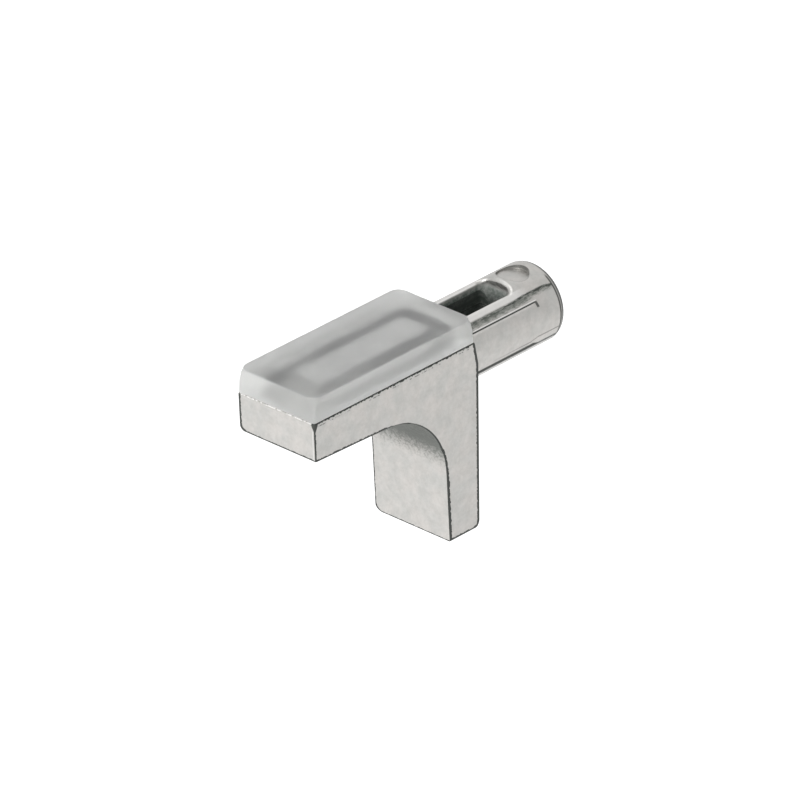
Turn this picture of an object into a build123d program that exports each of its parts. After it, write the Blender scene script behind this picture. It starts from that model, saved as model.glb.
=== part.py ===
"""Shelf support for a drilled cabinet panel: a die-cast bracket with its pin, and a soft pad on its arm.

Frame: the origin is on the pin's axis, in the plane of the leg's back, which bears on the panel.
+X runs along the pin into the panel, +Z is up and the arm reaches along -X. Sizes are millimetres.
"""
import os
from math import radians, tan

from build123d import *
from build123d.topology import SkipClean

# Pin
pin_diameter = 5.0
pin_length = 8.2
pin_end_round = 0.5
pin_nose_length = 2.2
crown_width = 4.2
side_relief_depth = 0.15
side_relief_runout = 0.6
side_curve_radius = 3.0

# Slot cored into the top of the pin, back to the plane of the panel
slot_width = 2.25
slot_end_gap = 3.25
slot_floor_thickness = 1.1
slot_corner_radius = 0.5
slot_rim_round = 0.2
slot_draft_angle = 1.5

# Round mark that the ejector leaves on the nose of the pin
mark_diameter = 1.95
mark_depth = 0.3
mark_end_gap = 0.98

# Arm and leg
arm_reach = 13.7
body_width = 6.0
body_height = 12.17
seat_height = 1.47
tip_thickness = 2.5
foot_thickness = 2.48
arch_radius = 5.2
underside_angle = 1.9
leg_front_angle = 2.7
tip_angle = 2.1
back_relief_depth = 0.3
back_relief_height = 1.45
edge_round = 0.12

# Larger rounds on the far lower corners and the heel; the tip's one narrows along the arm
tip_corner_round = 0.6
tip_round_length = 5.0
foot_corner_round = 0.6
heel_round = 0.5

# Groove round the top of the arm
groove_front_margin = 0.8
groove_back_margin = 0.6
groove_side_margin = 1.04
groove_front_width = 2.0
groove_back_width = 1.15
groove_side_width = 0.9
groove_depth = 0.9
groove_corner_radius = 0.7
island_corner_radius = 0.3

# Pad
pad_thickness = 1.61
pad_inset = 0.02
pad_foot_corner_radius = 0.15
pad_top_corner_radius = 0.8
pad_edge_round = 0.15
rib_side_clearance = 0.05
rib_floor_clearance = 0.1

# How far up the pad, and how far from the foot's corner radius to the top's
pad_level_shares = (0, 0.5, 0.75, 0.9, 1)
pad_growth_shares = (0, 0.08, 0.3, 0.6, 1)

# Overrun of every cutting shape past the metal that it cuts
overrun = 1.0

pin_radius = pin_diameter / 2
relieved_radius = pin_radius - side_relief_depth
slot_end = pin_length - slot_end_gap
foot_level = seat_height - body_height
tip_bottom_x = -arm_reach + tip_thickness * tan(radians(tip_angle))
tip_bottom_z = seat_height - tip_thickness
seat_length = arm_reach - back_relief_depth
pin_plane = Plane(origin=(0, 0, 0), x_dir=(0, 0, 1), z_dir=(1, 0, 0))


def underside_level(x):
    """Height of the arm's sloping underside at a place along it."""
    return tip_bottom_z - (x - tip_bottom_x) * tan(radians(underside_angle))


def arm_and_leg():
    """Side outline with its arch and its sloped upper back, pushed across the width."""
    rise = tan(radians(underside_angle))
    lean = tan(radians(leg_front_angle))
    corner_x = ((foot_level - underside_level(0)) * lean - foot_thickness) / (1 - lean * rise)
    inner_corner = (corner_x, underside_level(corner_x))
    side_outline = Polyline(
        (-back_relief_depth, seat_height),
        (-arm_reach, seat_height),
        (tip_bottom_x, tip_bottom_z),
        inner_corner,
        (-foot_thickness, foot_level),
        (0, foot_level),
        (0, seat_height - back_relief_height),
        close=True,
    )
    side = make_face(side_outline)
    arch_corner = side.vertices().sort_by_distance(inner_corner)[0]
    side = fillet(arch_corner, arch_radius)
    return extrude(Plane.XZ * side, amount=body_width / 2, both=True)


def lower_outline(face):
    """Edges of a side face from the tip's underside round the arch to the foot."""
    below_tip = [e for e in face.edges() if e.center().Z < tip_bottom_z]
    return [e for e in below_tip if e.center().X < -foot_thickness / 4]


def corner_waste(radius):
    """What a round takes off a square corner, drawn about the middle of the round."""
    square = Rectangle(radius + overrun, radius + overrun, align=(Align.MIN, Align.MAX))
    return square - Circle(radius)


def far_corner_waste(x, level, radius):
    """The same for the far corner of a section at x, whose lower side is at a level."""
    middle = (x, body_width / 2 - radius, level + radius)
    return Plane(origin=middle, x_dir=(0, 1, 0), z_dir=(1, 0, 0)) * corner_waste(radius)


def rounded_arm_and_leg():
    """Small rounds along the edges, then the larger ones on the far lower corners and the heel."""
    body = arm_and_leg()
    sides = body.faces().sort_by(Axis.Y)
    body = fillet(lower_outline(sides[0]) + lower_outline(sides[-1]), edge_round)
    top = body.faces().sort_by(Axis.Z)[-1]
    tip = body.faces().sort_by(Axis.X)[0]
    back_edge = top.edges().sort_by(Axis.X)[-1]
    upper_edges = (top.edges() + tip.edges()).filter_by(lambda e: e.center() != back_edge.center())
    body = fillet(upper_edges, edge_round)

    round_end_x = tip_round_length - arm_reach
    tip_start = far_corner_waste(-arm_reach, tip_bottom_z, tip_corner_round)
    tip_end = far_corner_waste(round_end_x, underside_level(round_end_x), edge_round)
    body -= loft([tip_start, tip_end], ruled=True)
    foot = far_corner_waste(-foot_thickness - overrun, foot_level, foot_corner_round)
    body -= extrude(foot, amount=foot_thickness + 2 * overrun)
    heel = Plane.XZ * Pos(-heel_round, foot_level + heel_round) * corner_waste(heel_round)
    return body - extrude(heel, amount=body_width, both=True)


def groove_plan(gap):
    """Ring between the groove's outline and its island, drawn in by a gap all round."""
    length = seat_length - groove_front_margin - groove_back_margin
    width = body_width - 2 * groove_side_margin
    middle = groove_front_margin - arm_reach + length / 2
    outline = RectangleRounded(length - 2 * gap, width - 2 * gap, groove_corner_radius - gap)
    island_length = length - groove_front_width - groove_back_width
    island_width = width - 2 * groove_side_width
    island_middle = middle + (groove_front_width - groove_back_width) / 2
    island = RectangleRounded(island_length + 2 * gap, island_width + 2 * gap, island_corner_radius + gap)
    return Pos(middle, 0, seat_height) * outline - Pos(island_middle, 0, seat_height) * island


def make_pin():
    """Pin whose sides are relieved up to the nose, with the cored slot and the ejector's mark in its top."""
    root_length = pin_length - pin_nose_length
    curve_offset = side_curve_radius - relieved_radius
    curves = [Pos(0, offset) * Circle(side_curve_radius) for offset in (curve_offset, -curve_offset)]
    crown = Rectangle(pin_diameter, crown_width)
    section = Circle(pin_radius) & (crown + (curves[0] & curves[1]))
    root = extrude(pin_plane * section, amount=root_length)
    runout_place = pin_plane.offset(root_length - side_relief_runout / 2)
    root += runout_place * Cone(relieved_radius, pin_radius, side_relief_runout)

    slot_length = slot_end + overrun
    mouth = Plane(origin=(slot_end - slot_length / 2, 0, pin_radius), x_dir=(1, 0, 0), z_dir=(0, 0, -1))
    slot_plan = mouth * RectangleRounded(slot_length, slot_width, slot_corner_radius)
    root -= extrude(slot_plan, amount=pin_diameter - slot_floor_thickness, taper=slot_draft_angle)
    crown_face = root.faces().sort_by(Axis.Z)[-1]
    inner_edges = [e for e in crown_face.edges() if abs(e.center().Y) < slot_width / 2 + slot_rim_round]
    rim = [e for e in inner_edges if e.center().X < root_length - slot_rim_round]
    root = fillet(rim, slot_rim_round)

    nose = extrude(pin_plane.offset(root_length) * Circle(pin_radius), amount=pin_nose_length)
    nose = fillet(nose.edges().sort_by(Axis.X)[-1], pin_end_round)

    mark_seat = Pos(pin_length - mark_end_gap - mark_diameter / 2, 0, pin_radius - mark_depth)
    return root + nose - extrude(mark_seat * Circle(mark_diameter / 2), amount=mark_depth + overrun)


def make_bracket():
    """One casting, with a bridge from the pin to the sloped back of the leg.

    The pin's wall is parted where the slot's straight sides end and where the reliefs end.
    """
    groove = extrude(groove_plan(0), amount=-groove_depth) + extrude(groove_plan(0), amount=overrun)
    bridge_section = Rectangle(2 * seat_height, crown_width)
    bridge = extrude(pin_plane.offset(-back_relief_depth) * bridge_section, amount=back_relief_depth)
    bracket = rounded_arm_and_leg() - groove + bridge
    rest = make_pin()
    with SkipClean():
        for station in (slot_end - slot_corner_radius, pin_length - pin_nose_length):
            bracket += split(rest, bisect_by=pin_plane.offset(station), keep=Keep.BOTTOM)
            rest = split(rest, bisect_by=pin_plane.offset(station), keep=Keep.TOP)
        return bracket + rest


def make_cushion_pad():
    """Soft block whose corners open out towards the top, with a rib below that fills the groove."""
    middle = -back_relief_depth - seat_length / 2
    length = seat_length - 2 * pad_inset
    width = body_width - 2 * pad_inset
    plans = []
    for level_share, growth_share in zip(pad_level_shares, pad_growth_shares):
        level = seat_height + level_share * pad_thickness
        growth = growth_share * (pad_top_corner_radius - pad_foot_corner_radius)
        plan = RectangleRounded(length, width, pad_foot_corner_radius + growth)
        plans.append(Pos(middle, 0, level) * plan)
    block = loft(plans, ruled=True)
    top = block.faces().sort_by(Axis.Z)[-1]
    block = fillet(top.edges(), pad_edge_round)
    return block + extrude(groove_plan(rib_side_clearance), amount=rib_floor_clearance - groove_depth)


os.makedirs("parts", exist_ok=True)
export_step(make_bracket(), "parts/bracket.step")
export_step(make_cushion_pad(), "parts/cushion_pad.step")
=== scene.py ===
from math import radians

import bmesh
import bpy
from mathutils import Euler, Matrix, Vector


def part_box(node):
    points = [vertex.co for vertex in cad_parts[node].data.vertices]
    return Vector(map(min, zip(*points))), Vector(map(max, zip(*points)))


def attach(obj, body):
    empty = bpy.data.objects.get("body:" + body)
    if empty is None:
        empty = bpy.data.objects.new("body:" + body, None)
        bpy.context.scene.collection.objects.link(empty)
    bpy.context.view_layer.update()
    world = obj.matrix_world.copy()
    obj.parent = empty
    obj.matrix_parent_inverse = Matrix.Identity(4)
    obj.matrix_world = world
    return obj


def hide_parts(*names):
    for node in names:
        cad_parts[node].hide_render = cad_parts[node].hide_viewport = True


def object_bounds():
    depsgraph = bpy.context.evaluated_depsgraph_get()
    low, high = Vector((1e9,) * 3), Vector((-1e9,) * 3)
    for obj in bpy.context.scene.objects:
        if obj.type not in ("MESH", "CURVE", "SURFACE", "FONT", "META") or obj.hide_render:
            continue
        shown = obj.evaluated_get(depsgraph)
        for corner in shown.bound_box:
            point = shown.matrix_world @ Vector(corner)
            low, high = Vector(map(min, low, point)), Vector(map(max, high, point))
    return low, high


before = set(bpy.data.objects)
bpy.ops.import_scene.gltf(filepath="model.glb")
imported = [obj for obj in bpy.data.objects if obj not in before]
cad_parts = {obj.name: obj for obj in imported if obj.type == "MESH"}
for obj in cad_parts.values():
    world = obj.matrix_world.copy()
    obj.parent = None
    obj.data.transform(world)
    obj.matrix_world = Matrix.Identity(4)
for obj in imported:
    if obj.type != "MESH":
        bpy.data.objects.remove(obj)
cad_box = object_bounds()
MM = 0.001

# Bracket
# Zinc die casting in one piece: the arm, the arched leg and the slotted pin that plugs into the panel.
# It is tumbled bright; dark lines are painted along its edges, and painted shade in its arch, its groove and
# its slot, with painted highlights on some edges.


def add_node(tree, kind, inputs=None, **settings):
    """A shader node whose inputs are set to values, or linked where a socket is given."""
    node = tree.nodes.new("ShaderNode" + kind)
    for name, value in settings.items():
        setattr(node, name, value)
    for name, value in (inputs or {}).items():
        if isinstance(value, bpy.types.NodeSocket):
            tree.links.new(value, node.inputs[name])
        else:
            node.inputs[name].default_value = value
    return node


def calc(tree, operation, *values):
    """The result of a math node on sockets or numbers."""
    return add_node(tree, "Math", dict(enumerate(values)), operation=operation).outputs[0]


def ramp(tree, value, start, end):
    """0 at start and 1 at end, eased between them."""
    inputs = {"Value": value, "From Min": start, "From Max": end}
    return add_node(tree, "MapRange", inputs, interpolation_type="SMOOTHSTEP").outputs["Result"]


def between(tree, value, start, end, soft):
    """1 from start to end and 0 outside, with soft ends."""
    rise = ramp(tree, value, start - soft, start + soft)
    fall = ramp(tree, value, end + soft, end - soft)
    return calc(tree, "MULTIPLY", rise, fall)


def linear(tree, constant, *terms):
    """A constant plus sockets times factors."""
    total = constant
    for socket, factor in terms:
        total = calc(tree, "MULTIPLY_ADD", socket, factor, total)
    return total


def join(tree, operation, *values):
    """Many values taken together by one operation, such as their product or their maximum."""
    total = values[0]
    for value in values[1:]:
        total = calc(tree, operation, total, value)
    return total


def span(tree, first, second):
    """The length of two values at right angles, each taken as 0 when negative."""
    first = calc(tree, "MAXIMUM", first, 0.0)
    second = calc(tree, "MAXIMUM", second, 0.0)
    squares = calc(tree, "MULTIPLY_ADD", first, first, calc(tree, "MULTIPLY", second, second))
    return calc(tree, "SQRT", squares)


def pick(tree, share, chosen, other):
    """The chosen value where the share is 1, and the other where it is 0."""
    return add_node(tree, "Mix", {0: share, 2: other, 3: chosen}).outputs[0]


def rounded_depth(tree, first, second, radius):
    """Depth behind a rounded corner between two lines, given the depths behind each of them."""
    inside = span(tree, linear(tree, radius, (first, -1.0)), linear(tree, radius, (second, -1.0)))
    return linear(tree, radius, (inside, -1.0))


def tint(tree, share, below, above):
    """A colour between two, which are colours or sockets, by a share."""
    node = add_node(tree, "Mix", data_type="RGBA")
    for socket, value in zip((node.inputs[0], node.inputs[6], node.inputs[7]), (share, below, above)):
        if isinstance(value, bpy.types.NodeSocket):
            tree.links.new(value, socket)
        else:
            socket.default_value = value
    return node.outputs[2]


def new_material(name):
    """A material with only its output and a Principled shader."""
    material = bpy.data.materials.new(name)
    material.use_nodes = True
    return material, material.node_tree, material.node_tree.nodes["Principled BSDF"]


def place_in_mm(tree, coordinates):
    """The place on the piece in millimetres."""
    inputs = {0: coordinates["Object"], "Scale": 1 / MM}
    return add_node(tree, "VectorMath", inputs, operation="SCALE").outputs[0]


def noise(tree, place, scale, detail, roughness=0.5):
    """Noise over a place, with its scale for each millimetre."""
    inputs = {"Vector": place, "Scale": scale, "Detail": detail, "Roughness": roughness}
    return add_node(tree, "TexNoise", inputs).outputs["Fac"]


def make_mottle_group():
    """Soft clouds and fine grains over a surface, by the place in millimetres."""
    group = bpy.data.node_groups.new("mottle", "ShaderNodeTree")
    group.interface.new_socket("Place", in_out="INPUT", socket_type="NodeSocketVector")
    group.interface.new_socket("Cloud Scale", in_out="INPUT", socket_type="NodeSocketFloat")
    group.interface.new_socket("Grain Scale", in_out="INPUT", socket_type="NodeSocketFloat")
    group.interface.new_socket("Cloud", in_out="OUTPUT", socket_type="NodeSocketFloat")
    group.interface.new_socket("Grain", in_out="OUTPUT", socket_type="NodeSocketFloat")
    given = group.nodes.new("NodeGroupInput").outputs
    result = group.nodes.new("NodeGroupOutput").inputs
    cloud = noise(group, given["Place"], given["Cloud Scale"], 3.0)
    grain = noise(group, given["Place"], given["Grain Scale"], 2.0)
    group.links.new(ramp(group, cloud, 0.3, 0.7), result["Cloud"])
    group.links.new(ramp(group, grain, 0.25, 0.75), result["Grain"])
    return group


def make_ring_group():
    """How much painted shade the groove ring under the pad gets: at its corners, its back and the back parts
    of its sides.
    """
    group = bpy.data.node_groups.new("ring", "ShaderNodeTree")
    group.interface.new_socket("Place", in_out="INPUT", socket_type="NodeSocketVector")
    group.interface.new_socket("Share", in_out="OUTPUT", socket_type="NodeSocketFloat")
    given = group.nodes.new("NodeGroupInput").outputs
    result = group.nodes.new("NodeGroupOutput").inputs
    along = add_node(group, "SeparateXYZ", {0: given["Place"]}).outputs
    x, y = along["X"], along["Y"]
    in_front = ramp(group, x, -10.2, -10.9)
    behind = calc(group, "SUBTRACT", 1.0, in_front)
    at_corner = ramp(group, calc(group, "ABSOLUTE", y), 0.9, 1.6)
    far_side = calc(group, "MULTIPLY", ramp(group, x, -9.6, -6.5), ramp(group, y, -0.3, 0.3))
    near_side = calc(group, "MULTIPLY", ramp(group, x, -9.5, -3.5), ramp(group, y, 0.3, -0.3))
    sides = calc(group, "MULTIPLY", calc(group, "MAXIMUM", far_side, near_side), behind)
    corners = join(group, "MULTIPLY", in_front, at_corner, 0.8)
    group.links.new(calc(group, "MAXIMUM", sides, corners), result["Share"])
    return group


mottle = make_mottle_group()
ring = make_ring_group()
zinc, tree, shader = new_material("cast_zinc_bright")
coordinates = add_node(tree, "TexCoord").outputs
place = place_in_mm(tree, coordinates)
x, y, z = add_node(tree, "SeparateXYZ", {0: place}).outputs
normal_x, normal_y, normal_z = add_node(tree, "SeparateXYZ", {0: coordinates["Normal"]}).outputs
skin_scales = {"Place": place, "Cloud Scale": 0.9, "Grain Scale": 5.0}
cloud, grain = add_node(tree, "Group", skin_scales, node_tree=mottle).outputs
wobble = linear(tree, -0.045, (grain, 0.09))
across = calc(tree, "ABSOLUTE", normal_y)
aside = calc(tree, "ABSOLUTE", y)
on_body = calc(tree, "LESS_THAN", x, 0.01)
on_pin = calc(tree, "SUBTRACT", 1.0, on_body)
on_side = calc(tree, "MULTIPLY", ramp(tree, across, 0.3, 0.6), on_body)
on_front = calc(tree, "MULTIPLY", ramp(tree, normal_x, -0.7, -0.9), on_body)
at_tip = calc(tree, "LESS_THAN", x, -12.0)
at_arm = calc(tree, "LESS_THAN", x, -7.9)
at_top = calc(tree, "GREATER_THAN", z, 1.3)

# Dark lines painted along the edges of the arm and leg, by the depth behind each edge
seat_height = 1.47
foot_depth = 10.7
half_width = 3.0
arch_radius = 5.2
heel_radius = 0.5
far_corner_radius = 0.6
tip_reach = 13.646
tip_lean = 0.0367
underside_drop = 1.4814
underside_slope = 0.0332
leg_reach = 2.9846
leg_lean = 0.0472
back_slope = 0.207
from_tip = linear(tree, tip_reach, (x, 1.0), (z, tip_lean))
from_under = linear(tree, underside_drop, (z, 1.0), (x, underside_slope))
from_leg = linear(tree, leg_reach, (x, 1.0), (z, leg_lean))
from_foot = linear(tree, foot_depth, (z, 1.0))
from_back = linear(tree, 0.0, (x, -1.0), (calc(tree, "MAXIMUM", z, 0.0), -back_slope))
from_top = linear(tree, seat_height, (z, -1.0))
from_far = linear(tree, half_width, (y, -1.0))
from_near = linear(tree, half_width, (y, 1.0))
under_arch = linear(tree, arch_radius, (from_under, 1.0))
behind_arch = linear(tree, arch_radius, (from_leg, 1.0))
from_arch = linear(tree, -arch_radius, (span(tree, under_arch, behind_arch), 1.0), (wobble, 1.0))
heel_depth = rounded_depth(tree, from_back, from_foot, heel_radius)
from_heel = linear(tree, 0.0, (heel_depth, 1.0), (wobble, 1.0))
wedge = linear(tree, 0.04, (ramp(tree, z, 0.9, 1.4), 0.18))
scratches = calc(tree, "MULTIPLY", between(tree, from_top, 0.2, 0.26, 0.02), ramp(tree, cloud, 0.4, 0.6))
scratches = calc(tree, "MULTIPLY", scratches, ramp(tree, grain, 0.4, 0.6))
side_line = join(
    tree, "MAXIMUM",
    calc(tree, "LESS_THAN", from_arch, pick(tree, at_arm, 0.18, 0.15)),
    calc(tree, "LESS_THAN", from_heel, 0.19),
    calc(tree, "LESS_THAN", linear(tree, 0.0, (from_top, 1.0), (wobble, 1.6)), 0.09),
    calc(tree, "LESS_THAN", linear(tree, -0.05, (from_tip, 1.0), (wobble, 0.5)), wedge),
    calc(tree, "MULTIPLY", scratches, 0.8),
)
front_low = pick(tree, at_tip, from_under, from_foot)
front_far = linear(tree, -0.08, (from_far, 1.0))
corner_depth = rounded_depth(tree, front_far, front_low, far_corner_radius)
front_depth = linear(tree, 0.0, (corner_depth, 1.0), (wobble, 0.6))
front_line = calc(tree, "LESS_THAN", front_depth, pick(tree, at_tip, 0.15, 0.07))
round_limit = pick(tree, at_top, 0.72, pick(tree, at_tip, 0.36, 0.3))
on_round = calc(tree, "GREATER_THAN", across, round_limit)
round_line = calc(tree, "MULTIPLY", ramp(tree, across, 0.95, 0.9), on_round)
# Painted shade: a small dark triangle at the near top corner of the tip, beside the pad
corner_shade = join(
    tree, "MULTIPLY",
    calc(tree, "LESS_THAN", from_near, linear(tree, 0.03, (wedge, 1.0))),
    calc(tree, "LESS_THAN", from_tip, linear(tree, 0.05, (wedge, 1.0))),
    calc(tree, "GREATER_THAN", z, 0.9),
)
edge_line = join(
    tree, "MAXIMUM",
    calc(tree, "MULTIPLY", side_line, on_side),
    calc(tree, "MULTIPLY", front_line, on_front),
    calc(tree, "MULTIPLY", round_line, on_body),
    corner_shade,
)
# Painted highlights: a light line on the tip's front beside its near edge, and light along the tip's rounded
# top front edge
tip_highlight = join(
    tree, "MULTIPLY",
    between(tree, from_near, 0.14, 0.2, 0.02),
    on_front,
    at_tip,
    ramp(tree, z, 1.1, 0.9),
)
rim_highlight = join(
    tree, "MULTIPLY",
    between(tree, normal_z, 0.3, 0.9, 0.05),
    at_tip,
    ramp(tree, across, 0.3, 0.1),
    ramp(tree, grain, 0.2, 0.6),
)

# Painted shade in the arch, in the groove below the pad and in the slot of the pin, and painted highlights on
# the slot's far wall and on the seat
flecks = ramp(tree, noise(tree, place, 5.0, 4.0, 0.75), 0.38, 0.62)
arch_level = linear(tree, -0.06, (normal_z, 1.0), (flecks, 0.12))
arch_shade = join(tree, "MULTIPLY", ramp(tree, arch_level, -0.1, -0.48), on_body, ramp(tree, z, -0.6, -1.2))
ring_shade_share = add_node(tree, "Group", {"Place": place}, node_tree=ring).outputs["Share"]
groove_shade = join(
    tree, "MULTIPLY",
    between(tree, z, 0.4, 1.44, 0.01),
    calc(tree, "LESS_THAN", aside, 2.05),
    between(tree, x, -13.0, -0.8, 0.05),
    ring_shade_share,
    0.9,
)
at_slot = join(
    tree, "MULTIPLY",
    calc(tree, "LESS_THAN", aside, 1.33),
    between(tree, x, 0.02, 5.05, 0.01),
    calc(tree, "GREATER_THAN", z, -1.5),
)
# Painted shade in the slot, darker with depth and a little lighter on its end wall
slot_share = linear(tree, 1.0, (ramp(tree, x, 4.4, 4.7), -0.15), (flecks, -0.3))
slot_shade = join(tree, "MULTIPLY", at_slot, ramp(tree, z, 2.1, 1.7), slot_share)
slot_wall = calc(tree, "MULTIPLY", at_slot, ramp(tree, z, 2.1, 1.8))
slot_deep_shade = join(tree, "MULTIPLY", at_slot, ramp(tree, z, 1.9, 0.8), linear(tree, 1.0, (flecks, -0.2)))
on_far = calc(tree, "GREATER_THAN", y, 0.0)
far_rim = join(tree, "MULTIPLY", at_slot, on_far, ramp(tree, x, 4.5, 4.2))
rim_line = calc(tree, "MULTIPLY", far_rim, between(tree, z, 2.11, 2.15, 0.02))
# Painted highlight along the top of the slot's far wall
wall_highlight = calc(tree, "MULTIPLY", far_rim, between(tree, z, 1.99, 2.07, 0.03))
# Painted highlight on the seat under the pad, stronger inside the ring
seat_highlight = join(
    tree, "MULTIPLY",
    on_body,
    calc(tree, "GREATER_THAN", normal_z, 0.95),
    calc(tree, "GREATER_THAN", z, 1.44),
    linear(tree, 0.2, (calc(tree, "LESS_THAN", aside, 1.1), 0.5)),
)

# Lines and bands along the pin, by the turn from its top
turn = calc(tree, "DEGREES", calc(tree, "ARCTAN2", aside, z))
on_root = calc(tree, "MULTIPLY", on_pin, ramp(tree, x, 6.1, 5.9))
on_wall = calc(tree, "MULTIPLY", on_pin, ramp(tree, x, 7.75, 7.65))
drawn = add_node(tree, "VectorMath", {0: place, 1: (0.3, 1.0, 1.0)}, operation="MULTIPLY").outputs[0]
streaks = ramp(tree, noise(tree, drawn, 8.0, 4.0, 0.75), 0.38, 0.62)
# Painted reflection: a dark band along the crown of the pin, with a darker core along its top edge
band_top = linear(
    tree, 42.8,
    (ramp(tree, x, 4.3, 5.3), -2.0),
    (ramp(tree, x, 7.0, 7.7), 3.0),
    (streaks, -1.2),
)
band_low = linear(tree, 53.5, (ramp(tree, x, 5.0, 6.2), -4.0), (streaks, -2.5))
band = join(
    tree, "MULTIPLY",
    ramp(tree, calc(tree, "SUBTRACT", turn, band_top), -0.5, 1.0),
    ramp(tree, calc(tree, "SUBTRACT", band_low, turn), -3.0, 4.0),
    linear(tree, 1.0, (streaks, -0.3)),
    on_wall,
)
band_core = join(
    tree, "MULTIPLY",
    ramp(tree, calc(tree, "SUBTRACT", turn, band_top), -0.5, 0.5),
    ramp(tree, calc(tree, "SUBTRACT", turn, band_top), 7.0, 1.5),
    ramp(tree, streaks, 1.0, 0.3),
    linear(tree, 0.6, (ramp(tree, x, 3.0, 5.0), 0.4)),
    on_wall,
)
# Painted highlight along the crown beside the slot's rim
crown_highlight = join(
    tree, "MULTIPLY",
    between(tree, turn, 31.0, 41.0, 1.0),
    on_root,
    ramp(tree, x, 6.0, 4.6),
)
# Painted shade in the corner where the side relief ends
hook_place = linear(tree, 0.42, (x, 1.0), (turn, -0.0072))
hook_turn = between(tree, turn, 56.0, 64.5, 1.0)
hook_shade = calc(tree, "MULTIPLY", between(tree, hook_place, 5.88, 6.05, 0.03), hook_turn)
step_line = calc(tree, "MULTIPLY", between(tree, turn, 55.3, 57.3, 0.3), on_root)
# Painted highlight just above the step line
step_highlight = calc(tree, "MULTIPLY", between(tree, turn, 53.6, 54.9, 0.3), on_root)
# Painted shade along the lower side of the pin
low_shade_line = calc(tree, "MULTIPLY", between(tree, turn, 120.0, 126.0, 0.6), on_wall)
thin_turn = linear(tree, 0.0, (turn, 1.0), (ramp(tree, x, 5.4, 6.0), 7.7))
thin_line = join(
    tree, "MULTIPLY",
    between(tree, thin_turn, 113.9, 115.9, 0.5),
    on_wall,
    ramp(tree, x, 1.0, 6.0),
)
far_turn = linear(tree, 0.0, (turn, 1.0), (ramp(tree, x, 5.0, 5.2), 2.0))
far_line = join(tree, "MULTIPLY", between(tree, far_turn, 34.5, 47.0, 0.6), on_wall, on_far)
end_line = calc(tree, "MULTIPLY", between(tree, x, 7.62, 7.74, 0.03), between(tree, turn, 30.0, 140.0, 4.0))
end_shade = calc(tree, "MULTIPLY", ramp(tree, x, 7.74, 7.84), ramp(tree, normal_x, 0.97, 0.85))
# Painted shade on and around the wall of the ejector mark, darkest along its far side and top
from_mark = span(tree, calc(tree, "ABSOLUTE", linear(tree, -6.25, (x, 1.0))), aside)
mark_side = ramp(tree, linear(tree, -4.4, (x, 0.7), (y, 1.0)), -0.3, 0.3)
mark_shade_line = join(
    tree, "MULTIPLY",
    between(tree, from_mark, 0.94, 1.02, 0.02),
    ramp(tree, z, 2.24, 2.32),
    mark_side,
)
mark_wall_shade = calc(tree, "MULTIPLY", between(tree, from_mark, 0.93, 1.0, 0.03), ramp(tree, z, 2.0, 2.2))
# Dark lines along the edges and the pin, with painted shade and painted reflection on the pin and the ejector
# mark
dark_lines_and_shade = join(
    tree, "MAXIMUM",
    edge_line,
    step_line,
    calc(tree, "MULTIPLY", rim_line, 0.7),
    calc(tree, "MULTIPLY", band_core, 0.9),
    calc(tree, "MULTIPLY", hook_shade, 0.9),
    calc(tree, "MULTIPLY", low_shade_line, 0.95),
    calc(tree, "MULTIPLY", thin_line, 0.55),
    calc(tree, "MULTIPLY", far_line, 0.8),
    calc(tree, "MULTIPLY", end_line, 0.9),
    calc(tree, "MULTIPLY", end_shade, 0.85),
    calc(tree, "MULTIPLY", mark_shade_line, 0.75),
    calc(tree, "MULTIPLY", mark_wall_shade, 0.4),
)

# Colours, from the bare metal to the darkest lines
warm_tint = (0.51, 0.492, 0.473, 1)
cool_tint = (0.472, 0.467, 0.452, 1)
highlight_tint = (0.92, 0.91, 0.9, 1)
shade_tint = (0.13, 0.142, 0.126, 1)
slot_shade_tint = (0.1, 0.125, 0.11, 1)
dark_tint = (0.025, 0.029, 0.026, 1)
speck = noise(tree, place, 1.6, 8.0, 0.75)
# Painted shade in the arch and the painted reflection band on the pin, with random darker specks
shade_and_specks = join(
    tree, "MAXIMUM",
    calc(tree, "MULTIPLY", arch_shade, 0.92),
    band,
    calc(tree, "MULTIPLY", ramp(tree, speck, 0.34, 0.26), 0.4),
    calc(tree, "MULTIPLY", on_pin, 0.02),
)
# Painted highlights on the seat, the tip, the pin's crown and step, and the slot's far wall
highlight = join(
    tree, "MAXIMUM",
    seat_highlight,
    calc(tree, "MULTIPLY", tip_highlight, 0.25),
    calc(tree, "MULTIPLY", rim_highlight, 0.6),
    calc(tree, "MULTIPLY", step_highlight, 0.5),
    calc(tree, "MULTIPLY", crown_highlight, 0.35),
    calc(tree, "MULTIPLY", wall_highlight, 0.6),
)
# Dark lines, with painted shade in the groove, the deep slot and the arch
dark_lines_and_deep_shade = join(
    tree, "MAXIMUM",
    dark_lines_and_shade,
    groove_shade,
    calc(tree, "MULTIPLY", slot_deep_shade, 0.8),
    calc(tree, "MULTIPLY", arch_shade, 0.42),
)
colour = tint(tree, cloud, warm_tint, cool_tint)
colour = tint(tree, calc(tree, "MULTIPLY", ramp(tree, speck, 0.3, 0.7), 0.2), colour, shade_tint)
colour = tint(tree, shade_and_specks, colour, shade_tint)
colour = tint(tree, highlight, colour, highlight_tint)
colour = tint(tree, slot_shade, colour, slot_shade_tint)
colour = tint(tree, calc(tree, "MULTIPLY", dark_lines_and_deep_shade, 0.95), colour, dark_tint)
tree.links.new(colour, shader.inputs["Base Color"])
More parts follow.
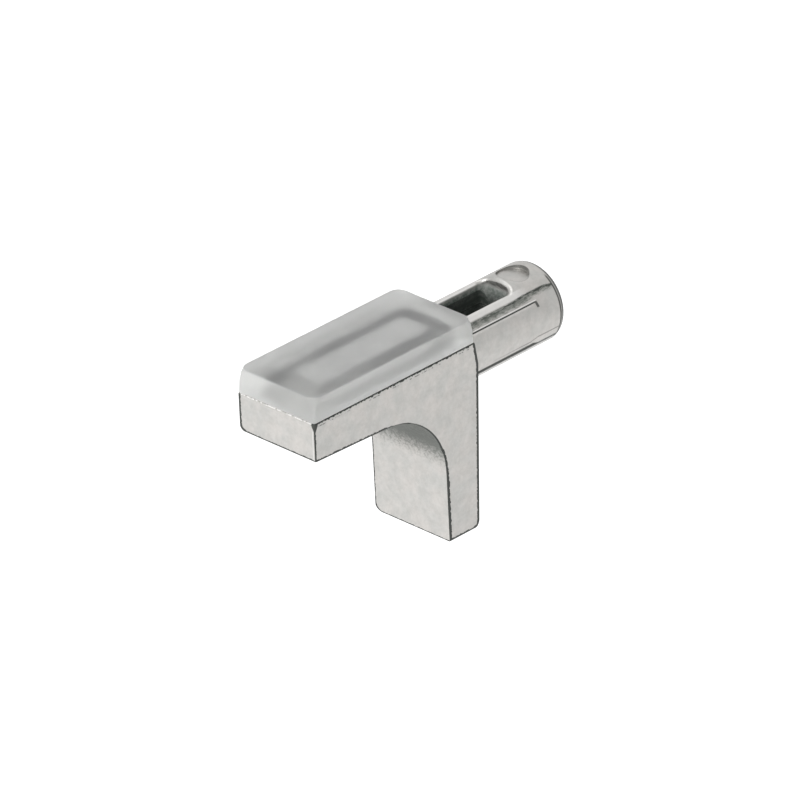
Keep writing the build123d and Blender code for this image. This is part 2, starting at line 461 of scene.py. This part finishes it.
# Metallic is lowered under the dark lines, in the slot and under the painted shade of the arch, so these stay
# dark in reflections
metal_drop = join(tree, "MAXIMUM", dark_lines_and_shade, slot_wall, calc(tree, "MULTIPLY", arch_shade, 0.65))
bare = linear(tree, 1.0, (metal_drop, -0.9))
tree.links.new(bare, shader.inputs["Metallic"])
tree.links.new(linear(tree, 0.36, (grain, 0.12)), shader.inputs["Roughness"])
shader.inputs["Specular IOR Level"].default_value = 0.2
bump = add_node(tree, "Bump", {"Strength": 0.15, "Distance": 0.02 * MM, "Height": grain})
tree.links.new(bump.outputs["Normal"], shader.inputs["Normal"])

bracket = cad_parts["bracket"]
bracket.material_slots[0].material = zinc

# Pad
# Frosted translucent plastic, moulded as a block whose upright corners open out towards the top.
# A rib below fills the groove in the arm, so the shelf rests on plastic and not on metal.
pad_low, pad_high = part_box("cushion_pad")
seat_level = seat_height * MM
seat_gap = 0.02 * MM
foot_corner_radius = 0.15 * MM
corner_levels = ((0.5, 0.25), (0.75, 0.45), (0.9, 0.75), (1.0, 1.2))
top_round = 0.15 * MM
rib_outline = ((-12.85, -0.95), (-1.91, 1.91))
rib_opening = ((-10.95, -2.0), (-1.11, 1.11))
tolerance = 0.001 * MM


def select_only(piece, kind, chosen):
    """In edit mode, selects the edges or faces of a piece that a test picks out."""
    bpy.ops.mesh.select_all(action="DESELECT")
    bpy.ops.mesh.select_mode(type="EDGE" if kind == "edges" else "FACE")
    mesh = bmesh.from_edit_mesh(piece.data)
    for part in getattr(mesh, kind):
        part.select_set(chosen(part))
    bmesh.update_edit_mesh(piece.data)


def is_level(edge, level):
    """Whether both ends of an edge lie at a height."""
    return all(abs(v.co.z - level) < tolerance for v in edge.verts)


def shrink_face(old_spans, new_spans, level):
    """Extrudes the selected face in its own plane and fits the copy from old spans into new ones."""
    shares = [(new[1] - new[0]) / (old[1] - old[0]) for old, new in zip(old_spans, new_spans)]
    fixed = [(new[0] - s * old[0]) / (1 - s) for old, new, s in zip(old_spans, new_spans, shares)]
    bpy.ops.mesh.extrude_region_move()
    bpy.ops.transform.resize(value=(*shares, 1), center_override=(fixed[0] * MM, fixed[1] * MM, level))


bpy.ops.object.select_all(action="DESELECT")
pad_bottom = seat_level + seat_gap
pad_size = Vector((pad_high.x - pad_low.x, pad_high.y - pad_low.y, pad_high.z - pad_bottom))
pad_middle = Vector(((pad_low.x + pad_high.x) / 2, (pad_low.y + pad_high.y) / 2, pad_bottom + pad_size.z / 2))
bpy.ops.mesh.primitive_cube_add(size=1, location=pad_middle, scale=pad_size)
pad = bpy.context.object
pad.name = "moulded_pad"
bpy.ops.object.transform_apply(location=True, rotation=True, scale=True)
bpy.ops.object.mode_set(mode="EDIT")
select_only(pad, "edges", lambda e: abs(e.verts[0].co.z - e.verts[1].co.z) > pad_size.z / 2)
bpy.ops.mesh.bevel(offset=foot_corner_radius, segments=10)
for share, _ in corner_levels[:-1]:
    level = Vector((0, 0, pad_bottom + share * pad_size.z))
    bpy.ops.mesh.select_all(action="SELECT")
    bpy.ops.mesh.bisect(plane_co=level, plane_no=(0, 0, 1))
near_corner = 1.6 * foot_corner_radius
for share, radius in corner_levels:
    growth = radius * MM / foot_corner_radius
    for corner_x in (pad_low.x, pad_high.x):
        for corner_y in (pad_low.y, pad_high.y):
            corner = Vector((corner_x, corner_y, pad_bottom + share * pad_size.z))
            select_only(pad, "edges", lambda e: all((v.co - corner).length < near_corner for v in e.verts))
            bpy.ops.transform.resize(value=(growth, growth, 1), center_override=corner)
select_only(pad, "edges", lambda e: is_level(e, pad_high.z))
bpy.ops.mesh.bevel(offset=top_round, segments=4)
select_only(pad, "faces", lambda f: f.normal.z < -0.9)
pad_spans = ((pad_low.x / MM, pad_high.x / MM), (pad_low.y / MM, pad_high.y / MM))
shrink_face(pad_spans, rib_outline, pad_bottom)
shrink_face(rib_outline, rib_opening, pad_bottom)


def in_rib(face):
    """Whether a face of the underside lies between the rib's outline and its opening."""
    if face.normal.z > -0.9 or len(face.verts) > 4:
        return False
    spans = [(s[0] * MM - tolerance, s[1] * MM + tolerance) for s in rib_outline]
    return all(spans[0][0] < v.co.x < spans[0][1] and spans[1][0] < v.co.y < spans[1][1] for v in face.verts)


select_only(pad, "faces", in_rib)
bpy.ops.mesh.extrude_region_move(TRANSFORM_OT_translate={"value": (0, 0, pad_low.z - pad_bottom)})
bpy.ops.object.mode_set(mode="OBJECT")
bpy.ops.object.shade_smooth_by_angle(angle=radians(35))

plastic, tree, shader = new_material("frosted_plastic")
coordinates = add_node(tree, "TexCoord").outputs
place = place_in_mm(tree, coordinates)
frost_scales = {"Place": place, "Cloud Scale": 0.6, "Grain Scale": 10.0}
cloud, grain = add_node(tree, "Group", frost_scales, node_tree=mottle).outputs
clear_tint = (0.70, 0.705, 0.70, 1)
milky_tint = (0.64, 0.645, 0.64, 1)
margin_tint = (0.57, 0.575, 0.57, 1)
lit_side_tint = (0.92, 0.925, 0.91, 1)
rib_shade_tint = (0.02, 0.022, 0.02, 1)
x, y, z = add_node(tree, "SeparateXYZ", {0: place}).outputs
normal_z = add_node(tree, "SeparateXYZ", {0: coordinates["Normal"]}).outputs["Z"]
level_share = ramp(tree, calc(tree, "ABSOLUTE", normal_z), 0.3, 0.8)
ring_shade_share = add_node(tree, "Group", {"Place": place}, node_tree=ring).outputs["Share"]
cloud_share = linear(tree, 0.8, (cloud, 0.2))
# Painted shade: the rib is painted dark where the ring group places shade from the groove
rib_shade_share = join(tree, "MULTIPLY", ring_shade_share, cloud_share, calc(tree, "LESS_THAN", z, 1.48))
margin_share = calc(tree, "MAXIMUM", ramp(tree, y, 1.2, 2.4), ramp(tree, x, -12.0, -12.9))
colour = tint(tree, cloud, clear_tint, milky_tint)
colour = tint(tree, margin_share, colour, margin_tint)
# The upright sides are painted lighter than the top, a painted difference of light between faces
colour = tint(tree, level_share, lit_side_tint, colour)
colour = tint(tree, rib_shade_share, colour, rib_shade_tint)
tree.links.new(colour, shader.inputs["Base Color"])
haze = pick(tree, level_share, linear(tree, 0.4, (grain, 0.05)), 0.75)
tree.links.new(haze, shader.inputs["Roughness"])
shader.inputs["IOR"].default_value = 1.46
shader.inputs["Transmission Weight"].default_value = 0.86
bump = add_node(tree, "Bump", {"Strength": 0.1, "Distance": 0.01 * MM, "Height": grain})
tree.links.new(bump.outputs["Normal"], shader.inputs["Normal"])
pad.data.materials.append(plastic)
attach(pad, "root")
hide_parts("cushion_pad")

# Floor and studio
# A plain white floor well below the part, which is held by its pin and rests on nothing.
# Lamps stand for two large soft boxes, and the room is plain white.
floor_gap = 60 * MM
floor_size = 6.0
bpy.ops.object.select_all(action="DESELECT")
bpy.ops.mesh.primitive_plane_add(size=floor_size, location=(0, 0, cad_box[0].z - floor_gap))
floor = bpy.context.object
floor.name = "floor"
bpy.ops.object.transform_apply(location=True, rotation=True, scale=True)


def seen_share(tree):
    """1 for rays from the camera, in reflections and through the plastic, and 0 for the light on the part."""
    light_path = add_node(tree, "LightPath").outputs
    seen = calc(tree, "MAXIMUM", light_path["Is Camera Ray"], light_path["Is Glossy Ray"])
    return calc(tree, "MAXIMUM", seen, light_path["Is Transmission Ray"])


white, tree, shader = new_material("white_floor")
shader.inputs["Base Color"].default_value = (0.9, 0.9, 0.9, 1)
shader.inputs["Roughness"].default_value = 1.0
shader.inputs["Specular IOR Level"].default_value = 0.0
shader.inputs["Emission Color"].default_value = (1, 1, 1, 1)
tree.links.new(calc(tree, "MULTIPLY", seen_share(tree), 0.35), shader.inputs["Emission Strength"])
floor.data.materials.append(white)

room = bpy.data.worlds.new("white_room")
room.use_nodes = True
bpy.context.scene.world = room
tree = room.node_tree
strength = calc(tree, "MULTIPLY_ADD", seen_share(tree), 0.4, 0.6)
tree.links.new(strength, tree.nodes["Background"].inputs["Strength"])
tree.nodes["Background"].inputs["Color"].default_value = (1, 1, 1, 1)


def add_soft_box(name, direction, distance, size, power):
    """A square area lamp that looks at the part."""
    toward = Vector(direction).normalized()
    bpy.ops.object.light_add(type="AREA", location=toward * distance)
    lamp = bpy.context.object
    lamp.name = name
    lamp.rotation_euler = toward.to_track_quat("Z", "Y").to_euler()
    lamp.data.size = size
    lamp.data.energy = power


add_soft_box("key_soft_box", (-0.9, -0.1, 0.55), 0.5, 0.3, 2.1)
add_soft_box("top_soft_box", (0.1, 0.2, 1.0), 0.5, 0.3, 0.6)

# Camera
# It looks down on the pad from the front left, with a long lens.
view_turn = radians(-46.8242)
view_rise = radians(28.0115)
view_roll = radians(-0.701)
view_distance = 500 * MM
view_aim = Vector((-3.2681, 0.1388, -2.1889)) * MM
facing = Euler((radians(90) - view_rise, 0, view_turn)).to_matrix() @ Matrix.Rotation(view_roll, 3, "Z")
view_place = view_aim + facing @ Vector((0, 0, view_distance))
bpy.ops.object.camera_add(location=view_place, rotation=facing.to_euler())
camera = bpy.context.object
camera.data.lens = 391.055
camera.data.sensor_width = 36
camera.data.clip_start = 0.01
bpy.context.scene.camera = camera
bpy.context.scene.view_settings.view_transform = "Standard"
